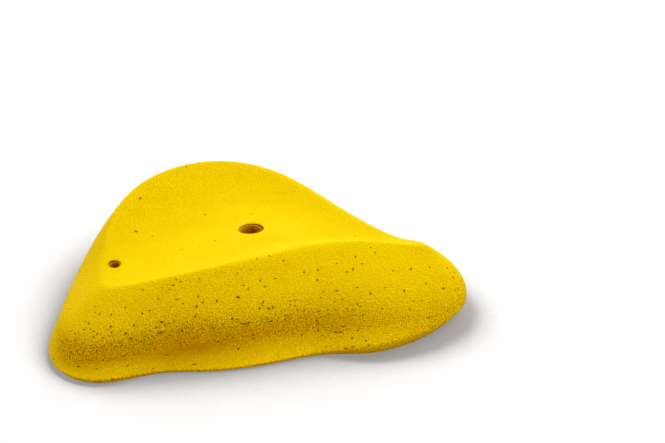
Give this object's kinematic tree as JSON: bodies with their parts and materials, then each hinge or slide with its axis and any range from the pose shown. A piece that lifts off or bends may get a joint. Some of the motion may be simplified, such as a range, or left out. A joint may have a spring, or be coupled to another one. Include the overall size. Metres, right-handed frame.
{
  "type": "climbing hold",
  "caption": "Large bolt-on climbing hold with a dished top, rolled rim, front ridge, thumb groove and flared lip, a cored and ribbed back, and a bolt hole and a set-screw hole.",
  "frame": {"origin": "on the axis of the fixing bolt, in the back plane that lies on the wall panel", "axes": "+Z out of the wall along the bolt axis, +X along the hold towards its nose, +Y from the front face towards the rolled far rim"},
  "size_m": [0.3131, 0.2288, 0.0699],
  "materials": {
    "urethane_yellow": "fine-grained cast polyurethane, matt",
    "zinc_steel": "zinc plated"
  },
  "bodies": {
    "root": {"hold_body": "urethane_yellow", "bolt_washer": "zinc_steel", "set_screw_washer": "zinc_steel"}
  },
  "joints": []
}
